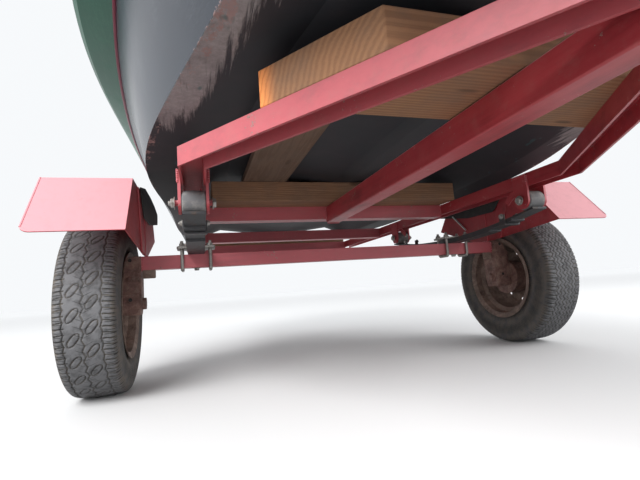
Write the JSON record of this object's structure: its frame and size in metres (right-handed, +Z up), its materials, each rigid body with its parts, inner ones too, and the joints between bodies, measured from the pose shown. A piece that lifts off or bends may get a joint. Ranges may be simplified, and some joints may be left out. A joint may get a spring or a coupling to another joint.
{
  "type": "speedboat on a trailer",
  "caption": "Small outboard speedboat with a green deck and black hull, on its rusty red two-wheel trailer with leaf springs.",
  "frame": {"origin": "on the floor in the middle of the whole length and width", "axes": "+Z up, +Y towards the transom and the motor, -Y towards the bow and the trailer's nose, X across"},
  "size_m": [2, 5.5218, 1.6542],
  "materials": {
    "red_paint": "chipped gloss paint",
    "rusty_iron": "rusted",
    "tyre": "worn",
    "zinc": "dull zinc",
    "spring_steel": "oily black",
    "grey_rubber": "worn",
    "timber": "weathered",
    "hull_black": "scratched gelcoat",
    "deck_green": "gelcoat",
    "maroon": "satin",
    "sole_grey": "non-slip",
    "seat_shell": "moulded",
    "vinyl": "soft",
    "screen": "clear",
    "alloy": "satin",
    "motor_paint": "gloss",
    "black_plastic": "grained"
  },
  "bodies": {
    "boat_on_trailer": {"axle_beam": "red_paint", "bench": "seat_shell", "bench_pad": "vinyl", "bow_eye": "zinc", "bow_stop": "grey_rubber", "clamp_left": "zinc", "clamp_right": "zinc", "cockpit_sole": "sole_grey", "coupling_head": "red_paint", "cross_members": "red_paint", "dashboard": "black_plastic", "deck": "deck_green", "hangers_left": "red_paint", "hangers_right": "red_paint", "hull": "hull_black", "jockey_tube": "zinc", "keel_plank": "timber", "knuckle_left": "rusty_iron", "knuckle_right": "rusty_iron", "motor_bracket": "motor_paint", "mudguard_left": "red_paint", "mudguard_right": "red_paint", "rail_left": "red_paint", "rail_right": "red_paint", "rollers_left": "grey_rubber", "rollers_right": "grey_rubber", "rub_line": "maroon", "seat_left": "seat_shell", "seat_left_pad": "vinyl", "seat_right": "seat_shell", "seat_right_pad": "vinyl", "spine": "red_paint", "splash_well": "sole_grey", "spring_left": "spring_steel", "spring_right": "spring_steel", "timber_block": "timber", "timber_front": "timber", "timber_rear": "timber", "transom_eyes": "zinc", "winch": "zinc", "winch_post": "red_paint", "windscreen_frame": "alloy", "windscreen_glass": "screen"},
    "left_wheel": {"tyre_left": "tyre", "rim_left": "rusty_iron", "drum_left": "rusty_iron"},
    "right_wheel": {"tyre_right": "tyre", "rim_right": "rusty_iron", "drum_right": "rusty_iron"},
    "jockey_leg": {"jockey_column": "zinc"},
    "jockey_swivel": {"jockey_fork": "zinc"},
    "jockey_roller": {"jockey_wheel": "grey_rubber"},
    "motor_tilt": {"swivel_bracket": "motor_paint"},
    "motor": {"motor_leg": "motor_paint", "motor_cowl": "motor_paint"},
    "motor_screw": {"propeller": "alloy"},
    "helm": {"steering_wheel": "black_plastic"}
  },
  "joints": [
    {"name": "left_wheel_turn", "type": "hinge", "parent": "boat_on_trailer", "child": "left_wheel", "pos_m": [-0.883, 0.68908, 0.3], "axis": [1, 0, 0], "continuous": true},
    {"name": "right_wheel_turn", "type": "hinge", "parent": "boat_on_trailer", "child": "right_wheel", "pos_m": [0.883, 0.68908, 0.3], "axis": [1, 0, 0], "continuous": true},
    {"name": "jockey_wind", "type": "slide", "parent": "boat_on_trailer", "child": "jockey_leg", "axis": [0, 0, 1], "range_m": [0, 0.15]},
    {"name": "jockey_swivel_turn", "type": "hinge", "parent": "jockey_leg", "child": "jockey_swivel", "pos_m": [0.073, -2.37092, 0.238], "axis": [0, 0, 1], "continuous": true},
    {"name": "jockey_roller_turn", "type": "hinge", "parent": "jockey_swivel", "child": "jockey_roller", "pos_m": [0.073, -2.32592, 0.1], "axis": [1, 0, 0], "continuous": true},
    {"name": "motor_tilt_hinge", "type": "hinge", "parent": "boat_on_trailer", "child": "motor_tilt", "pos_m": [0, 2.15108, 1.128], "axis": [1, 0, 0], "range_deg": [-40, 20]},
    {"name": "motor_steer", "type": "hinge", "parent": "motor_tilt", "child": "motor", "pos_m": [0, 2.22385, 1.18906], "axis": [0, -0.6428, 0.766], "range_deg": [-30, 30]},
    {"name": "motor_screw_turn", "type": "hinge", "parent": "motor", "child": "motor_screw", "pos_m": [0, 2.5014, 0.71051], "axis": [0, 0.766, 0.6428], "continuous": true},
    {"name": "helm_turn", "type": "hinge", "parent": "boat_on_trailer", "child": "helm", "pos_m": [-0.3, 0.00805, 1.17956], "axis": [0, 0.8192, 0.5736], "range_deg": [-540, 540]}
  ],
  "couplings": [
    {"joint": "motor_steer", "follows": "helm_turn", "ratio": -0.055556}
  ]
}
